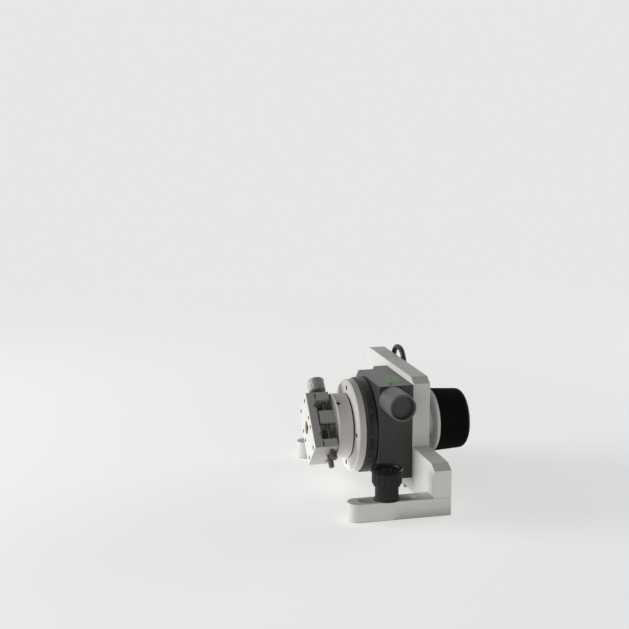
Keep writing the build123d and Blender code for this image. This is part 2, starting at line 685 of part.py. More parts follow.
# --------------------------------------------------------------------- handwheel
def make_wheel_face():
    """Light metal front of the handwheel, with the hub that meets the spindle."""
    back = WHEEL_Y + WHEEL_FACE_T
    start = BACK_Y + COVER_T + 2 * FACE_GAP
    rim = WHEEL_R - RIB_DEPTH
    face = turned(
        (start, SPINDLE_R), (start, WHEEL_HUB_R), (WHEEL_Y, WHEEL_HUB_R), (WHEEL_Y, rim - EDGE),
        (WHEEL_Y + EDGE, rim), (back, rim), (back, TAIL_R), (WHEEL_Y, TAIL_R),
        (WHEEL_Y, SPINDLE_R),
    )
    return AXIS * face


def ribbed_section(radius, y):
    """The grip's outline at one depth: a ring of sharp ribs."""
    points = []
    for step in range(2 * RIBS):
        angle = pi * step / RIBS
        reach = radius - RIB_DEPTH * (step % 2)
        points.append((reach * cos(angle), reach * sin(angle)))
    return Pos(0, y, 0) * Rot(-90, 0, 0) * make_face(Polyline(*points, close=True))


def make_wheel_grip():
    """Black ribbed grip, slightly tapered, with a rounded rear rim and a recess."""
    front = WHEEL_Y + WHEEL_FACE_T
    ends = [ribbed_section(WHEEL_R, front), ribbed_section(WHEEL_REAR_R, WHEEL_END_Y)]
    ribs = loft(ends, ruled=True)
    form = turned((front, TAIL_R), (front, WHEEL_R), (WHEEL_END_Y, WHEEL_R), (WHEEL_END_Y, TAIL_R))
    rim = form.edges().filter_by(GeomType.CIRCLE).group_by(Axis.Y)[-1].sort_by(SortBy.RADIUS)[-1]
    form = fillet(rim, WHEEL_ROUND)
    form -= along_y(WHEEL_RECESS_R, NUT_SEAT_Y, WHEEL_END_Y)
    return AXIS * (ribs & form)


def make_spindle_nut():
    """Hexagon nut that holds the handwheel on the spindle's tail."""
    nut = extrude(RegularPolygon(NUT_R, 6), NUT_T) - along_z(TAIL_R, 0, NUT_T)
    return AXIS * Pos(0, NUT_SEAT_Y + NUT_T, 0) * Rot(90, 0, 0) * nut


# ------------------------------------------------------------------ clamp screws
def make_clamp_collar(side):
    """Collar that stands on a foot and slides along its slot, wider at its base."""
    top = FOOT_H + CLAMP_NECK_L
    outline = (
        (CLAMP_SHANK_R + RUN_GAP, FOOT_H), (CLAMP_FLARE_R, FOOT_H), (CLAMP_FLARE_R, FOOT_H + EDGE),
        (CLAMP_NECK_R, FOOT_H + 3 * EDGE), (CLAMP_NECK_R, top), (CLAMP_SHANK_R + RUN_GAP, top),
    )
    face = make_face(Plane.XZ * Polyline(*outline, close=True))
    return Pos(side * FOOT_X, SLOT_Y, 0) * revolve(face, Axis.Z)


def make_clamp_screw(side):
    """Thumb screw: fluted head with a dished top, and its shank down through the slot."""
    seat = FOOT_H + CLAMP_NECK_L
    top = seat + CLAMP_HEAD_L
    body = seat + CLAMP_FOOT_T
    rim = top - CLAMP_RIM_T
    floor = top - CLAMP_DISH
    outline = (
        (0, seat), (CLAMP_FOOT_R - EDGE, seat), (CLAMP_FOOT_R, seat + EDGE), (CLAMP_FOOT_R, body - EDGE),
        (CLAMP_BODY_R, body), (CLAMP_BODY_R, rim), (CLAMP_R, rim + EDGE), (CLAMP_R, top - EDGE),
        (CLAMP_R - EDGE, top), (CLAMP_DISH_R, top), (CLAMP_DISH_R - EDGE, floor),
        (CLAMP_BOSS_R, floor), (CLAMP_BOSS_R, floor + CLAMP_BOSS_L), (0, floor + CLAMP_BOSS_L),
    )
    head = revolve(make_face(Plane.XZ * Polyline(*outline, close=True)), Axis.Z)
    flute = along_z(FLUTE_R, body, rim, CLAMP_BODY_R + FLUTE_R - FLUTE_DEPTH)
    for step in range(FLUTES):
        head -= Rot(0, 0, 360 * step / FLUTES) * flute
    head += along_z(CLAMP_SHANK_R, FACE_GAP, seat)
    return Pos(side * FOOT_X, SLOT_Y, 0) * head


# -------------------------------------------------------------------- encoder lead
def make_lead():
    """The lead's loop between its two holders: up, over in one round arch, and down."""
    route = (
        (GLAND_X, LEAD_Y, LEAD_END_Z), (GLAND_X, LEAD_Y, LEAD_TOP_Z),
        (SOCKET_X, LEAD_Y, LEAD_TOP_Z), (SOCKET_X, LEAD_Y, LEAD_END_Z),
    )
    path = FilletPolyline(*route, radius=LEAD_BEND * LEAD_SPAN)
    print("lead length", round(path.length, 1))
    section = Plane(origin=route[0], z_dir=(0, 0, 1)) * Circle(LEAD_R)
    return sweep(section, path=path)


def lead_holder(x):
    """Block on the plate's back with a round boss that takes the lead's end."""
    z0 = LEAD_END_Z - GLAND_H
    base = block(x - GLAND_W / 2, x + GLAND_W / 2, BACK_Y, LEAD_Y, z0, LEAD_END_Z - GLAND_STEP)
    return base + along_z(GLAND_R, z0, LEAD_END_Z, x, LEAD_Y)


# ------------------------------------------------------------------------- export
PARTS = {
    "upright_plate": make_upright_plate(),
    "near_foot": make_foot(1),
    "far_foot": make_foot(-1),
    "foot_screws": make_foot_screws(),
    "gear_housing": make_gear_housing(),
    "housing_screws": make_housing_screws(),
    "oil_plug": make_oil_plug(),
    "front_bearing": make_front_bearing(),
    "rear_bearing": make_rear_bearing(),
    "bearing_cover": make_bearing_cover(),
    "encoder_tube": make_encoder_tube(),
    "encoder_cap": make_encoder_cap(),
    "encoder_shaft": make_encoder_shaft(),
    "code_disc": make_code_disc(),
    "spindle": make_spindle(),
    "spindle_gear": make_spindle_gear(),
    "scale_ring": make_scale_ring(),
    "table_disc": make_table_disc(),
    "hub": make_hub(),
    "hub_screw": make_hub_screw(),
    "slide_saddle": make_slide_saddle(),
    "slide_plate": make_slide_plate(),
    "upper_end_block": make_upper_end_block(),
    "lower_end_block": make_lower_end_block(),
    "slide_screws": make_slide_screws(),
    "guide_rods": make_guide_rods(),
    "slide_bush": make_slide_bush(),
    "lead_screw": make_lead_screw(),
    "lock_screw": make_lock_screw(),
    "wheel_face": make_wheel_face(),
    "wheel_grip": make_wheel_grip(),
    "spindle_nut": make_spindle_nut(),
    "near_clamp_collar": make_clamp_collar(1),
    "near_clamp_screw": make_clamp_screw(1),
    "far_clamp_collar": make_clamp_collar(-1),
    "far_clamp_screw": make_clamp_screw(-1),
    "encoder_lead": make_lead(),
    "lead_gland": lead_holder(GLAND_X),
    "lead_socket": lead_holder(SOCKET_X),
}

for name, solid in PARTS.items():
    export_step(solid, f"parts/{name}.step")
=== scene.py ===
# %% [markdown]
# # A hand-turned rotation stage
# The stage holds a small piece of work on a horizontal spindle, so that a measuring
# machine can look at every side of it.  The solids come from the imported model: the
# bracket, the gear housing, the spindle and all that turns.  This notebook gives each
# of them its finish, and models the parts whose beauty is in fine relief: the ribbed
# handwheel, the fluted thumb screws, the engraved ring and the small screws.

# %% Tools and the fixed frame
import bpy
import json
from math import atan2, cos, pi, radians, sin, sqrt
from mathutils import Matrix, Vector


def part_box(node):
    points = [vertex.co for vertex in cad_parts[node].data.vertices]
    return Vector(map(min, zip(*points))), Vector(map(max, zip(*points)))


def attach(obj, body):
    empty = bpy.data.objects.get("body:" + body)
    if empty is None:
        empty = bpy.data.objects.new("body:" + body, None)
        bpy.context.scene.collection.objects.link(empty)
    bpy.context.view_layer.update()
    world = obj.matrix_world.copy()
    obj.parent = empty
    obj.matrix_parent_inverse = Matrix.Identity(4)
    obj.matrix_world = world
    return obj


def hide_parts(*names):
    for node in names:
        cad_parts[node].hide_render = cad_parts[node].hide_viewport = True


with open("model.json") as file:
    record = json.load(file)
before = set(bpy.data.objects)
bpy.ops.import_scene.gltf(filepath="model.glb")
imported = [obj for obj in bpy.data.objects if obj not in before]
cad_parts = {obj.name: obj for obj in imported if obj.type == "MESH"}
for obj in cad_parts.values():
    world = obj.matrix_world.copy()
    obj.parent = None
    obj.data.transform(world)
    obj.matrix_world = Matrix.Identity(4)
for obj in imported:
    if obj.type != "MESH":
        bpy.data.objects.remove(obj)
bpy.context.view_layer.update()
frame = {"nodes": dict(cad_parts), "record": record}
NODES = frame["nodes"]

# %% [markdown]
# Everything is placed from the solids themselves.  A node's box gives its lowest and
# highest corner, so the handwheel knows where the spindle is without being told twice.

# %% Measures read from the solids
MM = 0.001


def low(node):
    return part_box(node)[0]


def high(node):
    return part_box(node)[1]


def middle(node):
    return (low(node) + high(node)) / 2


AXIS = middle("scale_ring")
SPINDLE = Vector((AXIS.x, 0, AXIS.z))
print("spindle axis is", round(AXIS.z / MM, 2), "mm above the table")

# %% [markdown]
# ## Camera and light
# The stage is seen from its near side, a little from the front and from just above, as
# it would be by someone bending down to the machine.  The lens is long, so that the
# feet stay nearly parallel.

# %% Camera
EYE = Vector((0.74005, -0.24598, 0.25727))
LOOK_BACK = Vector((0.95396, -0.23696, 0.18381))
FOCAL = 1216.4                # focal length in pixels of a 629 pixel frame
FRAME_PX = 629
SENSOR = 36.0

camera_data = bpy.data.cameras.new("camera")
camera_data.sensor_width = SENSOR
camera_data.lens = SENSOR * FOCAL / FRAME_PX
camera_data.clip_start = 0.01
camera = bpy.data.objects.new("camera", camera_data)
camera.location = EYE
camera.rotation_euler = (-LOOK_BACK).to_track_quat("-Z", "Y").to_euler()
bpy.context.scene.collection.objects.link(camera)
bpy.context.scene.camera = camera
print("camera lens", round(camera_data.lens, 2), "mm")

# %% [markdown]
# The light is soft.  One broad lamp in front, a little to the far side, makes the front
# faces nearly white.  A weak one on the viewer's side and one behind fill the rest, and
# a glow from the table, as over a light table, reaches the undersides of round parts.
# It comes from three flat lamps that face up: in front, on the viewer's side, and a
# small one between the feet.  No ray of the camera or of a reflection meets them.
# Little comes from above, so upward faces stay darker than upright ones.

# %% Lamps
STAGE_MIDDLE = (0, 0, 0.04)
ROOM_PALE = (0.80, 0.80, 0.79, 1)
SKY_TINT = (0.95, 0.98, 1.0, 1)
SKY_STRENGTH = 0.12


def soft_lamp(name, place, target, width, height, power):
    """A wide soft box that looks at a point."""
    data = bpy.data.lights.new(name, "AREA")
    data.shape = "RECTANGLE"
    data.size = width
    data.size_y = height
    data.energy = power
    lamp = bpy.data.objects.new(name, data)
    lamp.location = place
    aim = Vector(target) - Vector(place)
    lamp.rotation_euler = aim.to_track_quat("-Z", "Y").to_euler()
    bpy.context.scene.collection.objects.link(lamp)
    return lamp


def table_glow(name, place, width, depth, power):
    """A flat lamp just above the table that faces up and isn't seen itself."""
    glow = soft_lamp(name, place, (place[0], place[1], 1), width, depth, power)
    glow.visible_camera = False
    glow.visible_glossy = False


soft_lamp("front_light", (-0.45, -1.3, 0.3), STAGE_MIDDLE, 0.8, 0.4, 18.0)
soft_lamp("viewer_light", (1.3, -0.6, 0.3), STAGE_MIDDLE, 1.2, 0.5, 5.0)
soft_lamp("rear_light", (-0.6, 1.3, 0.35), STAGE_MIDDLE, 0.8, 0.4, 8.0)
table_glow("front_glow", (0.025, -0.365, 0.0005), 0.75, 0.67, 0.9)
table_glow("side_glow", (0.265, 0.145, 0.0005), 0.37, 0.35, 0.31)
table_glow("inner_glow", (-0.005, -0.072, 0.0006), 0.07, 0.07, 0.022)

# %% The room
world = bpy.data.worlds.new("room")
bpy.context.scene.world = world
world.use_nodes = True
world_nodes = world.node_tree.nodes
world_links = world.node_tree.links
world_nodes.clear()
rays = world_nodes.new("ShaderNodeLightPath")
seen = world_nodes.new("ShaderNodeMath")
seen.operation = "MAXIMUM"
world_links.new(rays.outputs["Is Camera Ray"], seen.inputs[0])
world_links.new(rays.outputs["Is Glossy Ray"], seen.inputs[1])
dim = world_nodes.new("ShaderNodeBackground")
dim.inputs["Color"].default_value = SKY_TINT
dim.inputs["Strength"].default_value = SKY_STRENGTH
pale = world_nodes.new("ShaderNodeBackground")
pale.inputs["Color"].default_value = ROOM_PALE
pale.inputs["Strength"].default_value = 1.0
blend = world_nodes.new("ShaderNodeMixShader")
world_links.new(seen.outputs[0], blend.inputs[0])
world_links.new(dim.outputs[0], blend.inputs[1])
world_links.new(pale.outputs[0], blend.inputs[2])
room_out = world_nodes.new("ShaderNodeOutputWorld")
world_links.new(blend.outputs[0], room_out.inputs["Surface"])
bpy.context.scene.view_settings.view_transform = "Standard"

# %% [markdown]
# ## Shader maths
# A finish is mostly arithmetic on the place of a point: how far it is from the spindle,
# how strong a scratch is there.  The class below wraps one socket, so that such a sum
# is written as a sum, and `node` adds anything else from its type, its settings and
# the values of its sockets.

# %% A socket that can be used in sums


class Wire:
    """One output of a node in a finish, for use in expressions."""

    def __init__(self, finish, socket):
        self.finish = finish
        self.socket = socket

    def math(self, operation, first, second=0.0):
        sockets = {0: first, 1: second}
        return self.finish.node("ShaderNodeMath", {"operation": operation}, sockets)

    def __add__(self, other):
        return self.math("ADD", self, other)

    def __sub__(self, other):
        return self.math("SUBTRACT", self, other)

    def __mul__(self, other):
        return self.math("MULTIPLY", self, other)

    def __pow__(self, other):
        return self.math("POWER", self, other)

    def __gt__(self, other):
        return self.math("GREATER_THAN", self, other)

    def __lt__(self, other):
        return self.math("LESS_THAN", self, other)

    def __abs__(self):
        return self.math("ABSOLUTE", self)


class Finish:
    """A material made from one shader and the nodes that feed it."""

    def __init__(self, name, colour, rough, metal=0.0, shine=0.5):
        self.material = bpy.data.materials.new(name)
        self.material.use_nodes = True
        self.tree = self.material.node_tree
        self.tree.nodes.clear()
        self.shader = self.tree.nodes.new("ShaderNodeBsdfPrincipled")
        output = self.tree.nodes.new("ShaderNodeOutputMaterial")
        self.tree.links.new(self.shader.outputs[0], output.inputs["Surface"])
        for socket, value in (("Base Color", (*colour, 1)), ("Roughness", rough),
                              ("Metallic", metal), ("Specular IOR Level", shine)):
            self.shader.inputs[socket].default_value = value

    def node(self, kind, settings=None, sockets=None, out=0):
        """Any node: its type, its settings, the values or links of its sockets."""
        made = self.tree.nodes.new(kind)
        for name, value in (settings or {}).items():
            setattr(made, name, value)
        for key, value in (sockets or {}).items():
            self.feed(made.inputs[key], value)
        return Wire(self, made.outputs[out])

    def feed(self, socket, value):
        """Gives a socket a link or a constant."""
        if isinstance(value, Wire):
            self.tree.links.new(value.socket, socket)
        else:
            socket.default_value = value

    def place(self, centre=(0, 0, 0), turn=(0, 0, 0), scale=(1, 1, 1)):
        """The point's place on the object, moved to a centre, then turned and scaled."""
        here = self.node("ShaderNodeTexCoord", out="Object")
        less, times = {"operation": "SUBTRACT"}, {"operation": "MULTIPLY"}
        moved = self.node("ShaderNodeVectorMath", less, {0: here, 1: centre})
        turned = self.node("ShaderNodeMapping", {"vector_type": "TEXTURE"},
                           {"Vector": moved, "Rotation": turn})
        return self.node("ShaderNodeVectorMath", times, {0: turned, 1: scale})

    def parts_of(self, vector):
        """The three numbers of a place."""
        first = self.node("ShaderNodeSeparateXYZ", {}, {0: vector})
        return [Wire(self, output) for output in first.socket.node.outputs]

    def noise(self, where, scale, detail=2.0, rough=0.5):
        """Soft random values between 0 and 1."""
        sockets = {"Vector": where, "Scale": scale, "Detail": detail, "Roughness": rough}
        return self.node("ShaderNodeTexNoise", {}, sockets)

    def mixed(self, amount, first, second):
        """A made colour where the amount is 0, and a plain one where it is 1."""
        sockets = {0: amount, 6: first, 7: (*second, 1)}
        return self.node("ShaderNodeMix", {"data_type": "RGBA"}, sockets, out=2)

    def tint(self, amount, first, second):
        """A colour between two plain ones, by an amount."""
        return self.mixed(amount, (*first, 1), second)

    def bump(self, height, depth, strength):
        """Relief of a real depth in metres."""
        sockets = {"Height": height, "Distance": depth, "Strength": strength}
        normal = self.node("ShaderNodeBump", {}, sockets, out="Normal")
        self.feed(self.shader.inputs["Normal"], normal)

    def colour(self, wire):
        self.feed(self.shader.inputs["Base Color"], wire)

    def rough(self, wire):
        self.feed(self.shader.inputs["Roughness"], wire)


# %% [markdown]
# ## The finishes
# Powder coat on the bracket is not flat: it has a fine orange peel, and the colour is a
# little uneven where hands and wipes have been.  Each finish has a light and a dark
# tone and a middle roughness.  The scales of its noises count waves in a metre, and
# the depth of its relief is a real one.

# %% Coated and anodised finishes
PATCH_SCALE = 35.0
PEEL_SCALE = 1400.0
PEEL_DEPTH = 0.02 * MM


def coated(name, light, dark, rough, shine=0.5):
    """Paint or anodising: uneven tone at two sizes and a fine grain."""
    finish = Finish(name, light, rough, shine=shine)
    here = finish.place()
    patches = finish.noise(here, PATCH_SCALE, 3.0)
    specks = finish.noise(here, PEEL_SCALE, 2.0)
    finish.colour(finish.tint(patches * 0.75 + specks * 0.25, dark, light))
    finish.rough(patches * 0.12 + (rough - 0.06))
    finish.bump(specks, PEEL_DEPTH, 0.6)
    return finish.material


# %% [markdown]
# A turned part carries the marks of the lathe: fine rings round the spindle on its
# faces, and fine bands along it on its sides.  Both come from one noise that is read
# at the point's distance from the axis and its place along it.  Satin aluminium
# scatters light almost as paint does, so it is only partly metallic.

# %% Turned metal
RING_PITCH = 9000.0
RING_DEPTH = 0.012 * MM
# near black tone of painted shade in grooves, holes and gaps
RECESS_SHADE_TONE = (0.012, 0.011, 0.010)


def turned_metal(name, light, dark, rough, metal=1.0, shine=0.5, shaded=None):
    """Metal from the lathe: fine rings round the spindle, and painted shade in its recesses and
    gaps.
    """
    finish = Finish(name, light, rough, metal, shine)
    here = finish.place(SPINDLE)
    x, along, z = finish.parts_of(here)
    far = (x * x + z * z) ** 0.5
    line = finish.node("ShaderNodeCombineXYZ", {}, {0: far * RING_PITCH, 1: along * RING_PITCH})
    rings = finish.noise(line, 0.35, 2.0, 0.7)
    bands = finish.noise(line, 0.09, 2.0, 0.6)
    patches = finish.noise(here, 60.0, 2.0)
    tone = finish.tint(rings * 0.3 + bands * 0.4 + patches * 0.3, dark, light)
    if shaded:
        # painted shade: where shaded says so, the tone turns near black
        tone = finish.mixed(shaded(far, along), tone, RECESS_SHADE_TONE)
    finish.colour(tone)
    finish.rough(rings * 0.16 + patches * 0.08 + (rough - 0.12))
    finish.bump(rings, RING_DEPTH, 0.5)
    return finish.material


# %% [markdown]
# The slide's blocks are milled, and the cutter leaves straight strokes in place of
# rings.  The noise is stretched along the slide's own travel, which is turned down
# from the level by the same angle as the slide.

# %% Milled metal
SLIDE_TURN = radians(47)
plate_front = low("slide_plate").y
EDGE_MARGIN = 0.1 * MM
CLIP_MIDDLE, CLIP_X, CLIP_Z, CLIP_R = 1.0 * MM, 3.4 * MM, 9.3 * MM, 1.35 * MM
# dark blue-grey of painted shade, standing for the shaded inside of the clip holes
HOLE_SHADE_TONE = (0.055, 0.060, 0.075)
STROKE_SCALE = (300.0, 5000.0, 9000.0)
STROKE_DEPTH = 0.01 * MM


def milled_metal(name, light, dark, rough, metal, shine, face):
    """Metal from the mill: straight fine strokes, a front face painted paler as painted light,
    dark clip holes as painted shade.
    """
    finish = Finish(name, light, rough, metal, shine)
    here = finish.place(SPINDLE, (0, SLIDE_TURN, 0))
    stretched = finish.place(SPINDLE, (0, SLIDE_TURN, 0), STROKE_SCALE)
    strokes = finish.noise(stretched, 1.0, 2.0, 0.6)
    patches = finish.noise(finish.place(), 90.0, 2.0)
    tone = finish.tint(strokes * 0.45 + patches * 0.55, dark, light)
    along, out, across = finish.parts_of(here)
    # painted light: the slide plate's front face is painted paler, as the front light falls on it
    tone = finish.mixed(out < plate_front + EDGE_MARGIN, tone, face)
    x = abs(abs(along - CLIP_MIDDLE) - CLIP_X)
    z = abs(abs(across) - CLIP_Z)
    # painted shade: four dark discs where the clip holes are
    hole = (x * x + z * z) ** 0.5 < CLIP_R
    finish.colour(finish.mixed(hole, tone, HOLE_SHADE_TONE))
    finish.rough(strokes * 0.14 + (rough - 0.07))
    finish.bump(strokes, STROKE_DEPTH, 0.5)
    return finish.material


# %% [markdown]
# The black parts are moulded: the mould gives them a fine matt grain, and fingers
# polish it here and there.  Above some height a piece can be painted a deeper black as
# painted shade, as on the upward dishes and rims of the thumb screws.

# %% Moulded black
# a deeper black, painted as shade on upward tops
TOP_SHADE_BLACK = (0.0035, 0.0035, 0.0035)
MOULD_DEPTH = 0.015 * MM


def moulded(name, light, dark, rough, grain=2600.0, shine=0.12, top=None):
    """Black moulding with a matt grain, polished patches, and painted shade above a given height.
    """
    finish = Finish(name, light, rough, shine=shine)
    here = finish.place()
    grains = finish.noise(here, grain, 2.0, 0.6)
    fingers = finish.noise(here, 120.0, 3.0, 0.6)
    polish = (fingers > 0.56) * 0.06
    tone = finish.tint(grains, dark, light)
    if top:
        height = finish.parts_of(here)[2]
        # painted shade: above the height the piece is a deeper black, as little light falls from
        # above
        tone = finish.mixed(height > top, tone, TOP_SHADE_BLACK)
    finish.colour(tone)
    finish.rough(grains * 0.10 + (rough - 0.05) - polish)
    finish.bump(grains, MOULD_DEPTH, 0.6)
    return finish.material


# %% [markdown]
# Painted shade darkens the groove round the hub's foot, the inside of the table's
# holes, the ring's rear edge by the gap to the housing and, more thinly, the hub's
# front face, where shade falls.  Two small sums on a point's distance from the spindle
# and its place along it say where.  Then every slot of the record gets its finish.

# %% A finish for every slot of the record
disc_front = low("table_disc").y
hub_front = low("hub").y
ring_back = high("scale_ring").y
# how dark the painted shade on the hub's front face is, as a share
HUB_FACE_SHADE_SHARE = 0.55
GROOVE_L, GROOVE_R = 1.0 * MM, 22.0 * MM
BOLT_IN, BOLT_OUT = 23.0 * MM, 27.0 * MM
# width of the painted shade along the ring's rear edge
RING_EDGE_SHADE_W = 0.35 * MM


def in_recess(far, along):
    """Painted shade: 1 in the groove at the hub's foot and inside the table's holes, half on the
    hub's front face.
    """
    groove = (along > disc_front - GROOVE_L) * (along < disc_front) * (far < GROOVE_R)
    holes = (along > disc_front + EDGE_MARGIN) * (far > BOLT_IN) * (far < BOLT_OUT)
    face = (along < hub_front + EDGE_MARGIN) * (along > hub_front - EDGE_MARGIN)
    return groove + holes + face * HUB_FACE_SHADE_SHARE


def at_ring_edge(far, along):
    """1 along the ring's rear edge, as painted shade of the gap by the housing, else 0."""
    return along > ring_back - RING_EDGE_SHADE_W


FINISHES = {
    "grey_bracket": coated("bracket_paint", (0.63, 0.62, 0.585), (0.56, 0.55, 0.52), 0.50),
    "dark_housing": coated(
        "housing_anodised", (0.042, 0.041, 0.039), (0.031, 0.030, 0.029), 0.33, 0.34),
    "dark_tube": coated(
        "tube_anodised", (0.105, 0.103, 0.099), (0.080, 0.078, 0.075), 0.42, 0.3),
    "black_ring": turned_metal(
        "ring_anodised", (0.017, 0.017, 0.016), (0.010, 0.010, 0.009), 0.34, 0.0, 0.25,
        at_ring_edge),
    "satin_aluminium": turned_metal(
        "turned_aluminium", (0.58, 0.56, 0.53), (0.42, 0.40, 0.375), 0.46, 0.1, 0.3, in_recess),
    "slide_metal": milled_metal(
        "milled_aluminium", (0.36, 0.345, 0.33), (0.30, 0.29, 0.275), 0.46, 0.1, 0.3,
        # the last, paler colour is painted light on the slide plate's front face
        (0.56, 0.56, 0.54)),
    "ground_steel": turned_metal("ground_steel", (0.42, 0.41, 0.39), (0.30, 0.29, 0.28), 0.34),
    "dark_steel": coated(
        "black_oxide", (0.020, 0.019, 0.018), (0.010, 0.010, 0.010), 0.34, 0.3),
    "bronze": turned_metal("bored_bronze", (0.45, 0.29, 0.13), (0.33, 0.21, 0.09), 0.34),
    "brass_bush": turned_metal("aged_brass", (0.36, 0.21, 0.09), (0.20, 0.11, 0.05), 0.44, 0.7),
    "black_grip": moulded(
        "moulded_black", (0.0060, 0.0060, 0.0065), (0.0030, 0.0030, 0.0033), 0.55, shine=0.05),
    "black_fitting": moulded("fitting_black", (0.016, 0.016, 0.016), (0.009, 0.009, 0.009), 0.45),
    "black_lead": moulded(
        "lead_jacket", (0.014, 0.013, 0.012), (0.008, 0.008, 0.008), 0.40, 1400.0, 0.3),
}
record = frame["record"]
SLOTS = {part["node"]: part["material_slot"] for part in record["subparts"]}
BODIES = {node: body for body, names in record["behaviour"]["bodies"].items() for node in names}


def cover(solid, material):
    """Gives an object one finish."""
    solid.data.materials.clear()
    solid.data.materials.append(material)


for node, slot in SLOTS.items():
    cover(NODES[node], FINISHES[slot])
print("finishes:", len(FINISHES), "on", len(SLOTS), "nodes")

# %% [markdown]
# Some nodes share a slot with others but have their own look: the front of the
# handwheel is painted, the lock screw is dark oiled steel, and the guide rods take the
# same dark steel, darker than their slot, as painted shade for the dark gap behind the
# slide plate.

# %% Finishes of single nodes
WHEEL_PAINT = coated("wheel_paint", (0.74, 0.735, 0.70), (0.68, 0.675, 0.65), 0.55)
OILED_STEEL_AND_GAP_SHADE = turned_metal(
    "oiled_steel_and_gap_shade", (0.11, 0.105, 0.10), (0.05, 0.047, 0.045), 0.46, 0.4)
cover(NODES["wheel_face"], WHEEL_PAINT)
# the rods' dark steel is partly painted shade for the dark gap behind the slide plate
cover(NODES["guide_rods"], OILED_STEEL_AND_GAP_SHADE)
cover(NODES["lock_screw"], OILED_STEEL_AND_GAP_SHADE)

# %% [markdown]
# ## Working by hand
# A turned piece starts as one point.  The point is extruded from corner to corner of
# the profile, and the line that this leaves is spun once round the axis.  That is how
# a lathe works too, and the profile stays easy to read.

# %% Spinning a profile
SAME_POINT = 0.001 * MM


def clear_selection():
    bpy.ops.object.select_all(action="DESELECT")


def take(piece):
    """Makes one piece the only selected and active one."""
    clear_selection()
    piece.select_set(True)
    bpy.context.view_layer.objects.active = piece


def spun(name, profile, segments=96):
    """A turned piece round Z, from its (radius, height) corners in millimetres."""
    clear_selection()
    bpy.ops.mesh.primitive_plane_add(size=MM, location=(0, 0, 0))
    piece = bpy.context.active_object
    piece.name = name
    bpy.ops.object.mode_set(mode="EDIT")
    bpy.ops.mesh.select_all(action="SELECT")
    bpy.ops.mesh.merge(type="CENTER")
    radius, height = profile[0]
    bpy.ops.transform.translate(value=(radius * MM, 0, height * MM))
    for (r0, z0), (r1, z1) in zip(profile, profile[1:]):
        step = ((r1 - r0) * MM, 0, (z1 - z0) * MM)
        bpy.ops.mesh.extrude_region_move(TRANSFORM_OT_translate={"value": step})
    bpy.ops.mesh.select_all(action="SELECT")
    bpy.ops.mesh.spin(steps=segments, angle=2 * pi, center=(0, 0, 0), axis=(0, 0, 1))
    close_up()
    return piece


def close_up():
    """Merges doubled points and turns all faces outwards, then leaves edit mode."""
    bpy.ops.mesh.select_all(action="SELECT")
    bpy.ops.mesh.remove_doubles(threshold=SAME_POINT)
    bpy.ops.mesh.normals_make_consistent(inside=False)
    bpy.ops.object.mode_set(mode="OBJECT")


def rounded(centre_r, centre_z, radius, start, end, steps=6):
    """Corners of a round on a profile, between two angles in degrees."""
    corners = []
    for step in range(steps + 1):
        angle = radians(start + (end - start) * step / steps)
        corners.append((centre_r + radius * cos(angle), centre_z + radius * sin(angle)))
    return corners


# %% [markdown]
# Ribs are pressed into a turned piece afterwards.  Of every four lines of points along
# the piece, two are taken and drawn a little towards the axis, all in one scaling.

# %% Ribs, seating and finishing
LINES_PER_RIB = 4


def pick(piece, wanted):
    """Selects, in edit mode, the points that a test on their place picks out."""
    take(piece)
    bpy.ops.object.mode_set(mode="EDIT")
    bpy.ops.mesh.select_mode(type="VERT")
    bpy.ops.mesh.select_all(action="DESELECT")
    bpy.ops.object.mode_set(mode="OBJECT")
    for vertex in piece.data.vertices:
        vertex.select = wanted(vertex.co)
    bpy.ops.object.mode_set(mode="EDIT")


def ribbed(piece, ribs, depth, reach, z0, z1):
    """Presses grooves between ribs, on the stretch z0..z1 outside a radius."""
    lines = LINES_PER_RIB * ribs

    def in_groove(place):
        radius = sqrt(place.x ** 2 + place.y ** 2) / MM
        line = round(atan2(place.y, place.x) / (2 * pi) * lines) % LINES_PER_RIB
        return line > 1 and radius > reach and z0 <= place.z / MM <= z1

    pick(piece, in_groove)
    squeeze = 1 - depth / reach
    bpy.ops.transform.resize(value=(squeeze, squeeze, 1), center_override=(0, 0, 0))
    bpy.ops.object.mode_set(mode="OBJECT")


def seat(piece, centre, up=(0, 0, 1)):
    """Puts a piece made round Z in its place and keeps that place in its mesh."""
    take(piece)
    upright = Vector((0, 0, 1)).rotation_difference(Vector(up)).to_matrix().to_4x4()
    piece.matrix_world = Matrix.Translation(centre) @ upright
    bpy.ops.object.transform_apply(location=True, rotation=True, scale=True)


def smooth(piece, angle=35):
    """Smooth shading, apart from edges sharper than an angle in degrees."""
    take(piece)
    bpy.ops.object.shade_smooth_by_angle(angle=radians(angle))


def fitted(piece, node, finish=None, hide=True):
    """A finished piece: its body and slot are a node's, which it may stand for."""
    cover(piece, finish or FINISHES[SLOTS[node]])
    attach(piece, BODIES[node])
    if hide:
        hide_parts(node)
    print(piece.name, "has", len(piece.data.polygons), "faces")


def copy_of(piece, name):
    """Another of the same piece, with a mesh of its own."""
    twin = piece.copy()
    twin.data = piece.data.copy()
    twin.name = name
    bpy.context.scene.collection.objects.link(twin)
    return twin


# %% [markdown]
# ## The handwheel's grip
# The grip is a black moulding with ninety fine ribs.  Its sides taper a little towards
# the rear, the rear rim is well rounded for the palm, and a recess hides the nut.

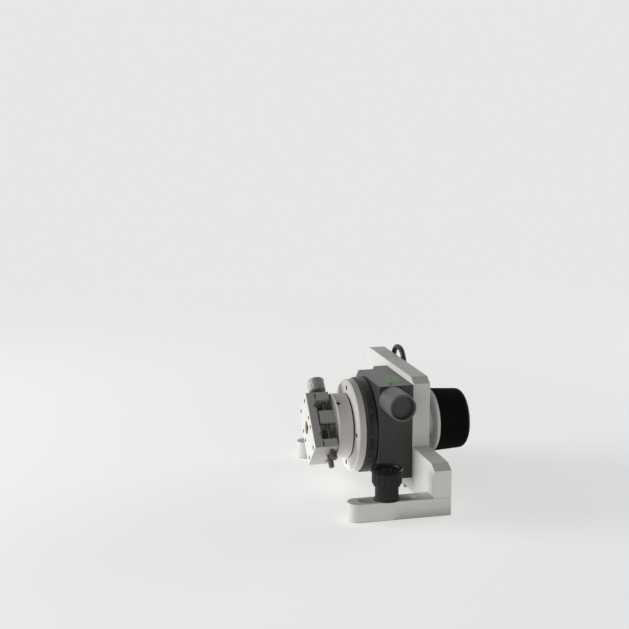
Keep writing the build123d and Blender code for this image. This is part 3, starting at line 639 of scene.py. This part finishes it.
# %% Grip
grip_low, grip_high = low("wheel_grip"), high("wheel_grip")
GRIP_L = (grip_high.y - grip_low.y) / MM
GRIP_R = (grip_high.z - grip_low.z) / 2 / MM
GRIP_TAPER = 1.0
GRIP_ROUND = 4.0
GRIP_BORE = 5.05
RECESS_R = 12.0
RECESS_L = 5.95
RIBS = 90
RIB_DEPTH = 0.45
CLEAR = 0.02                  # keeps a piece's end off the face it sits on
rear_r = GRIP_R - GRIP_TAPER
rim = rounded(rear_r - GRIP_ROUND, GRIP_L - GRIP_ROUND, GRIP_ROUND, 0, 90, 8)
grip = spun("ribbed_grip", [
    (GRIP_BORE, CLEAR), (GRIP_R - 0.9, CLEAR), (GRIP_R - 0.2, 0.25), (GRIP_R, 0.8),
    *rim, (RECESS_R + 1.2, GRIP_L), (RECESS_R + 0.5, GRIP_L - 0.4), (RECESS_R, GRIP_L - 1.2),
    (RECESS_R, GRIP_L - RECESS_L), (GRIP_BORE, GRIP_L - RECESS_L), (GRIP_BORE, CLEAR),
], LINES_PER_RIB * RIBS)
ribbed(grip, RIBS, RIB_DEPTH, rear_r - GRIP_ROUND + 0.5, 0.5, GRIP_L)
seat(grip, (SPINDLE.x, grip_low.y, SPINDLE.z), (0, 1, 0))
smooth(grip, 25)
fitted(grip, "wheel_grip")

# %% [markdown]
# ## Thumb screws
# Each foot is held down by a black thumb screw.  The head is turned first, with a dish
# in its top, a plain rim and a narrower step below.  Sixteen flutes are then cut with
# one round-ended cutter, copied round the head, so that each flute ends in a dimple.

# %% Thumb screws
HEAD_R = 9.7
BODY_R = 9.2
STEP_R = 8.3
HEAD_L = 11.2
RIM_T = 2.2
DISH_R = 7.9
DISH = 1.2
BOSS_R = 2.6
BOSS_L = 0.6
SHANK_R = 3.0
SHANK_POINT = 0.5
FLUTES = 16
FLUTE_R = 1.15
FLUTE_DEPTH = 0.55
FLUTE_Z = 3.6


def flute_cutter(top):
    """Round-ended cutters, evenly round the head."""
    end = rounded(0, FLUTE_Z, FLUTE_R, -90, 0, 5)
    cutter = spun("flute_cutter", [*end, (FLUTE_R, top), (0, top)], 16)
    bpy.ops.object.mode_set(mode="EDIT")
    bpy.ops.mesh.select_all(action="SELECT")
    bpy.ops.transform.translate(value=((BODY_R + FLUTE_R - FLUTE_DEPTH) * MM, 0, 0))
    last = 2 * pi * (FLUTES - 1) / FLUTES
    bpy.ops.mesh.spin(steps=FLUTES - 1, dupli=True, angle=last, center=(0, 0, 0), axis=(0, 0, 1))
    bpy.ops.object.mode_set(mode="OBJECT")
    return cutter


def carve(piece, cutter):
    """Takes a cutter's shape out of a piece and throws the cutter away."""
    take(piece)
    bpy.ops.object.modifier_add(type="BOOLEAN")
    cut = piece.modifiers[-1]
    cut.operation = "DIFFERENCE"
    cut.solver = "EXACT"
    cut.object = cutter
    bpy.ops.object.modifier_apply(modifier=cut.name)
    take(cutter)
    bpy.ops.object.delete()


rim_underside = high("near_clamp_screw").z - RIM_T * MM
# the heads are painted a deeper black above the rims' underside, as painted shade on their tops
THUMB_BLACK = moulded(
    "thumb_black", (0.023, 0.023, 0.021), (0.015, 0.015, 0.014), 0.48,
    shine=0.11, top=rim_underside)
head_foot = high("near_clamp_collar").z
shank_tip = (low("near_clamp_screw").z - head_foot) / MM
near_head = spun("near_thumb_screw_head", [
    (0, shank_tip), (SHANK_R - SHANK_POINT, shank_tip), (SHANK_R, shank_tip + SHANK_POINT),
    (SHANK_R, CLEAR), (STEP_R - 0.5, CLEAR), (STEP_R, 0.5), (STEP_R, 1.6),
    (BODY_R - 0.3, 1.9), (BODY_R, 2.3),
    (BODY_R, HEAD_L - RIM_T), (HEAD_R - 0.05, HEAD_L - RIM_T + 0.35), (HEAD_R, HEAD_L - 0.6),
    (HEAD_R - 0.5, HEAD_L), (DISH_R, HEAD_L), (DISH_R - 0.4, HEAD_L - DISH),
    (BOSS_R + 0.3, HEAD_L - DISH - 0.1), (BOSS_R, HEAD_L - DISH + BOSS_L - 0.1),
    (0, HEAD_L - DISH + BOSS_L),
], 128)
carve(near_head, flute_cutter(HEAD_L - RIM_T + CLEAR))
far_head = copy_of(near_head, "far_thumb_screw_head")
for head, node in ((near_head, "near_clamp_screw"), (far_head, "far_clamp_screw")):
    centre = middle(node)
    seat(head, (centre.x, centre.y, head_foot))
    smooth(head)
    fitted(head, node, THUMB_BLACK)
for node in ("near_clamp_collar", "far_clamp_collar"):
    cover(NODES[node], THUMB_BLACK)

# %% [markdown]
# ## The slide's lead screw
# The screw is one turned bar with a knurled knob at its upper end.  It is modelled as
# three pieces with two finishes: the satin knob, and the dark steel of the neck and of
# the threaded bar, whose thread is cut as close rings because at this size the helix
# can't be told from them.  A dot product with the travel direction tells how far each end
# reaches.

# %% Knob, neck and thread
ALONG = Vector((cos(SLIDE_TURN), 0, -sin(SLIDE_TURN)))
rod_y = middle("guide_rods").y


def span(node, direction):
    """How far a node reaches along a direction from the spindle, in millimetres."""
    reach = [(vertex.co - SPINDLE).dot(direction) / MM for vertex in NODES[node].data.vertices]
    return min(reach), max(reach)


SLIDE_FOOT = Vector((SPINDLE.x, rod_y, SPINDLE.z))
screw_start, screw_end = span("lead_screw", ALONG)
plate_start, plate_end = span("slide_plate", ALONG)
KNOB_R = 5.5
KNOB_L = 9.0
KNOB_RIBS = 36
KNURL_DEPTH = 0.22
knob = spun("knurled_knob", [
    (0, 0.5), (3.4, 0.5), (3.7, 0), (5.0, 0), (KNOB_R, 0.5), (KNOB_R, 1.1),
    (KNOB_R, KNOB_L - 1.1), (KNOB_R, KNOB_L - 0.5), (5.0, KNOB_L), (0, KNOB_L),
], LINES_PER_RIB * KNOB_RIBS)
ribbed(knob, KNOB_RIBS, KNURL_DEPTH, KNOB_R - 0.1, 1.0, KNOB_L - 1.0)
seat(knob, SLIDE_FOOT + ALONG * screw_start * MM, ALONG)
smooth(knob)
KNOB_SATIN = turned_metal(
    "knob_satin", (0.27, 0.26, 0.245), (0.18, 0.175, 0.165), 0.40, 0.25, 0.4)
fitted(knob, "lead_screw", KNOB_SATIN)

THREAD_R = 1.85
THREAD_CORE = 1.55
NECK_R = 3.4
NECK_WAIST_R = 2.6
neck_start = screw_start + KNOB_L
neck_l = plate_start - neck_start - 0.4
neck = spun("screw_neck", [
    (0, CLEAR), (NECK_WAIST_R, CLEAR), (NECK_WAIST_R, 0.8), (NECK_R, 1.2),
    (NECK_R, neck_l - 1.0), (2.8, neck_l), (0, neck_l),
], 64)
seat(neck, SLIDE_FOOT + ALONG * neck_start * MM, ALONG)
smooth(neck)
fitted(neck, "lead_screw", OILED_STEEL_AND_GAP_SHADE)

thread = [(0, 0)]
turns = int(screw_end - neck_start)
for turn in range(turns):
    thread += [(THREAD_CORE, turn + 0.1), (THREAD_R, turn + 0.45), (THREAD_R, turn + 0.65)]
thread += [(THREAD_CORE, turns), (0, turns)]
bar = spun("screw_thread", thread, 48)
seat(bar, SLIDE_FOOT + ALONG * (screw_end - turns) * MM, ALONG)
smooth(bar)
fitted(bar, "lead_screw", OILED_STEEL_AND_GAP_SHADE)
print("lead screw", round(screw_end - screw_start, 1), "mm from end to end")

# %% [markdown]
# ## Small screws
# A socket screw is a bar with a six-sided hole in its end.  The bar is a spun piece with
# a broken edge, and the socket is cut with a six-sided prism.

# %% Socket screws
SMALL_SCREW_R = 1.45
SOCKET_DEPTH = 1.2
BROKEN_EDGE = 0.25


def socket_screw(name, length, socket_r):
    """A screw round Z with its head's face at the origin and the shank below."""
    screw = spun(name, [
        (0, -length), (SMALL_SCREW_R, -length), (SMALL_SCREW_R, -BROKEN_EDGE),
        (SMALL_SCREW_R - BROKEN_EDGE, 0), (0, 0),
    ], 48)
    clear_selection()
    bpy.ops.mesh.primitive_cylinder_add(
        vertices=6, radius=socket_r * MM, depth=2 * SOCKET_DEPTH * MM, location=(0, 0, 0))
    carve(screw, bpy.context.active_object)
    return screw


OUT = Vector((0, -1, 0))
ACROSS = Vector((sin(SLIDE_TURN), 0, cos(SLIDE_TURN)))
HEAD_SUNK = 0.6
SCREW_IN = 2.8
SCREW_SIDE = 7.0
plate_screw_l = (high("slide_screws").y - plate_front) / MM - HEAD_SUNK
plate_screw = socket_screw("plate_screw_1", plate_screw_l, 0.85)
places = [(travel, side) for travel in (plate_start + SCREW_IN, plate_end - SCREW_IN)
          for side in (-SCREW_SIDE, SCREW_SIDE)]
copies = [copy_of(plate_screw, f"plate_screw_{count}") for count in (2, 3, 4)]
plate_screws = [plate_screw, *copies]
for screw, (travel, side) in zip(plate_screws, places):
    foot = SPINDLE + ALONG * travel * MM + ACROSS * side * MM
    seat(screw, (foot.x, plate_front + HEAD_SUNK * MM, foot.z), OUT)
    smooth(screw)
    fitted(screw, "slide_screws", OILED_STEEL_AND_GAP_SHADE)

SET_TURN = radians(31)
set_out = Vector((sin(SET_TURN), 0, cos(SET_TURN)))
set_tip, set_top = span("hub_screw", set_out)
set_screw = socket_screw("hub_set_screw", set_top - set_tip, 0.8)
set_place = SPINDLE + set_out * set_top * MM
seat(set_screw, (set_place.x, middle("hub_screw").y, set_place.z), set_out)
smooth(set_screw)
fitted(set_screw, "hub_screw")

# %% [markdown]
# ## The graduated ring
# The ring is cut with a line at every second degree, a longer one at every tenth, and
# a number at every thirtieth, all filled with pale paint.  One line is modelled and
# spun into copies.  The numbers are text made into a mesh; they are only numbers, as on
# any dial, and they stand a few hundredths of a millimetre proud.

# %% Graduations
ring_r = (high("scale_ring").z - low("scale_ring").z) / 2 / MM
LINE_W = 0.13
LINE_H = 0.10
LINE_PROUD = 0.02
RING_EDGE = 0.5
SHORT_LINE = 1.5
LONG_LINE = 2.4
DEGREES_PER_LINE = 2
DEGREES_PER_LONG_LINE = 10
PAINT = coated("filled_marks", (0.20, 0.20, 0.19), (0.13, 0.13, 0.125), 0.6, 0.2)


def marks(name, count, length):
    """Lines along the rim, evenly round the ring, from its rear edge."""
    clear_selection()
    middle_y = -(RING_EDGE + length / 2) * MM
    middle_z = (ring_r + LINE_PROUD - LINE_H / 2) * MM
    bpy.ops.mesh.primitive_cube_add(
        size=MM, location=(0, middle_y, middle_z), scale=(LINE_W, length, LINE_H))
    lines = bpy.context.active_object
    lines.name = name
    bpy.ops.object.transform_apply(location=True, rotation=True, scale=True)
    bpy.ops.object.mode_set(mode="EDIT")
    bpy.ops.mesh.select_all(action="SELECT")
    last = 2 * pi * (count - 1) / count
    bpy.ops.mesh.spin(steps=count - 1, dupli=True, angle=last, center=(0, 0, 0), axis=(0, 1, 0))
    bpy.ops.object.mode_set(mode="OBJECT")
    seat(lines, (SPINDLE.x, ring_back, SPINDLE.z))
    fitted(lines, "scale_ring", PAINT, hide=False)


marks("short_marks", 360 // DEGREES_PER_LINE, SHORT_LINE)
marks("long_marks", 360 // DEGREES_PER_LONG_LINE, LONG_LINE)

# %% Numbers
DIGIT_SIZE = 1.4
DIGIT_H = 0.72 * DIGIT_SIZE   # a digit's height is a share of the letter size
DIGIT_T = 0.03
DIGIT_PROUD = 0.01
NUMBER_GAP = 0.3              # between a long line and its number
DEGREES_PER_NUMBER = 30


def number(degrees):
    """One number on the rim, its foot towards the front."""
    clear_selection()
    bpy.ops.object.text_add(location=(0, 0, 0))
    text = bpy.context.active_object
    text.data.body = str(degrees)
    text.data.size = DIGIT_SIZE * MM
    text.data.align_x = "CENTER"
    text.data.extrude = DIGIT_T * MM
    bpy.ops.object.convert(target="MESH")
    text = bpy.context.active_object
    text.name = f"number_{degrees}"
    angle = radians(degrees)
    out = Vector((sin(angle), 0, cos(angle)))
    back = Vector((0, 1, 0))
    turn = Matrix((back.cross(out), back, out)).transposed().to_4x4()
    foot = SPINDLE + out * (ring_r + DIGIT_PROUD) * MM
    foot.y = ring_back - (RING_EDGE + LONG_LINE + NUMBER_GAP + DIGIT_H) * MM
    text.matrix_world = Matrix.Translation(foot) @ turn
    bpy.ops.object.transform_apply(location=True, rotation=True, scale=True)
    fitted(text, "scale_ring", PAINT, hide=False)


for degrees in range(0, 360, DEGREES_PER_NUMBER):
    number(degrees)

# %% [markdown]
# ## Label and index on the housing
# A plain green film label lies on the housing's top, and a short pale line beside the
# ring is the index that the graduations are read against.

# %% Label and index
housing_top = high("gear_housing").z
LABEL_W, LABEL_D, LABEL_T = 17.5, 8.3, 0.12
LABEL_X, LABEL_Y = 12.2, -13.7
LABEL_CORNER = 0.8
INDEX_W, INDEX_L, INDEX_T = 0.25, 3.0, 0.03
INDEX_CORNER = 0.1
INDEX_IN = 0.4                # from the housing's front edge
FILM_DEPTH = 0.01 * MM


def thin_plate(name, width, depth, thick, place, corner):
    """A thin plate with round corners, its underside at a place."""
    clear_selection()
    bpy.ops.mesh.primitive_plane_add(size=MM, location=(0, 0, 0))
    plate = bpy.context.active_object
    plate.name = name
    bpy.ops.transform.resize(value=(width, depth, 1), center_override=(0, 0, 0))
    bpy.ops.object.transform_apply(location=True, rotation=True, scale=True)
    bpy.ops.object.mode_set(mode="EDIT")
    bpy.ops.mesh.select_all(action="SELECT")
    bpy.ops.mesh.bevel(offset=corner * MM, segments=4, affect="VERTICES")
    bpy.ops.mesh.select_all(action="SELECT")
    bpy.ops.mesh.extrude_region_move(TRANSFORM_OT_translate={"value": (0, 0, thick * MM)})
    close_up()
    seat(plate, place)
    return plate


def film(name, light, dark):
    """Printed plastic film: an even colour with a faint print grain and slight waves."""
    finish = Finish(name, light, 0.45, shine=0.3)
    here = finish.place()
    print_grain = finish.noise(here, 900.0, 2.0)
    finish.colour(finish.tint(print_grain, dark, light))
    finish.rough(print_grain * 0.1 + 0.42)
    finish.bump(finish.noise(here, 260.0, 1.0), FILM_DEPTH, 0.4)
    return finish.material


label_place = (LABEL_X * MM, LABEL_Y * MM, housing_top)
label = thin_plate("blank_label", LABEL_W, LABEL_D, LABEL_T, label_place, LABEL_CORNER)
GREEN_FILM = film("green_film", (0.16, 0.34, 0.13), (0.13, 0.29, 0.11))
fitted(label, "gear_housing", GREEN_FILM, hide=False)
index_place = (SPINDLE.x, low("gear_housing").y + (INDEX_L / 2 + INDEX_IN) * MM, housing_top)
index = thin_plate("index_line", INDEX_W, INDEX_L, INDEX_T, index_place, INDEX_CORNER)
fitted(index, "gear_housing", PAINT, hide=False)

# %% [markdown]
# ## The lead behind the plate
# The encoder's lead comes up out of one holder and goes down into the next, in a round
# arch.  It is a smooth curve with a few control points, given the lead's thickness and
# then made a mesh.  Where it leaves a holder it has a short ribbed relief.

# %% Lead
gland, socket = middle("lead_gland"), middle("lead_socket")
lead_y = middle("encoder_lead").y
LEAD_R = (high("encoder_lead").y - low("encoder_lead").y) / 2
lead_foot = low("encoder_lead").z
crest = high("encoder_lead").z - LEAD_R
SHOULDER = 8.0 * MM
INSET = 6.0 * MM
route = [
    (gland.x, lead_foot), (gland.x, lead_foot + SHOULDER), (gland.x - INSET, crest),
    (socket.x + INSET, crest), (socket.x, lead_foot + SHOULDER), (socket.x, lead_foot),
]
line = bpy.data.curves.new("lead_line", "CURVE")
line.dimensions = "3D"
line.bevel_depth = LEAD_R
line.bevel_resolution = 6
line.resolution_u = 12
line.use_fill_caps = True
spline = line.splines.new("NURBS")
spline.points.add(len(route) - 1)
for point, (x, z) in zip(spline.points, route):
    point.co = (x, lead_y, z, 1)
spline.order_u = 3
spline.use_endpoint_u = True
lead = bpy.data.objects.new("lead_arch", line)
bpy.context.scene.collection.objects.link(lead)
take(lead)
bpy.ops.object.convert(target="MESH")
lead = bpy.context.active_object
bpy.ops.object.mode_set(mode="EDIT")
close_up()
smooth(lead)
fitted(lead, "encoder_lead")

# %% Reliefs
RELIEF_L = 6.0
relief_bore = LEAD_R / MM + CLEAR
near_relief = spun("near_relief", [
    (relief_bore, CLEAR), (2.9, CLEAR), (2.9, 0.6), (2.5, 0.9), (2.5, 1.4), (2.75, 1.7),
    (2.65, 2.3), (2.35, 2.6), (2.35, 3.1), (2.55, 3.4), (2.45, 4.0), (2.15, 4.3),
    (2.1, RELIEF_L), (relief_bore, RELIEF_L), (relief_bore, CLEAR),
], 48)
far_relief = copy_of(near_relief, "far_relief")
for relief, holder in ((near_relief, gland), (far_relief, socket)):
    seat(relief, (holder.x, lead_y, lead_foot))
    smooth(relief)
    fitted(relief, "lead_gland", hide=False)

# %% [markdown]
# ## The table the stage stands on
# A plain pale floor keeps the stage's shadow.  To the camera and in reflections it
# glows a little, so that it is as pale as the room behind it, and further out it fades
# away, so that no edge or horizon shows.

# %% Floor
FLOOR_SIZE = 4.0
FLOOR_GLOW = 0.65
FADE_START, FADE_END = 0.22, 0.85
clear_selection()
bpy.ops.mesh.primitive_plane_add(size=FLOOR_SIZE, location=(0, 0, 0))
floor = bpy.context.active_object
floor.name = "floor"
pale_floor = Finish("floor_pale", (0.62, 0.62, 0.615), 0.9, shine=0.1)
pale_floor.shader.inputs["Emission Color"].default_value = ROOM_PALE
path = pale_floor.node("ShaderNodeLightPath")
glossy = Wire(pale_floor, path.socket.node.outputs["Is Glossy Ray"])
seen_floor = path.math("MAXIMUM", path, glossy)
pale_floor.feed(pale_floor.shader.inputs["Emission Strength"], seen_floor * FLOOR_GLOW)
x, y, _ = pale_floor.parts_of(pale_floor.place())
far = (x * x + y * y) ** 0.5
reach = {"Value": far, "From Min": FADE_START, "From Max": FADE_END, "To Min": 1.0, "To Max": 0.0}
fade = pale_floor.node("ShaderNodeMapRange", {"interpolation_type": "SMOOTHSTEP"}, reach)
pale_floor.feed(pale_floor.shader.inputs["Alpha"], fade)
cover(floor, pale_floor.material)
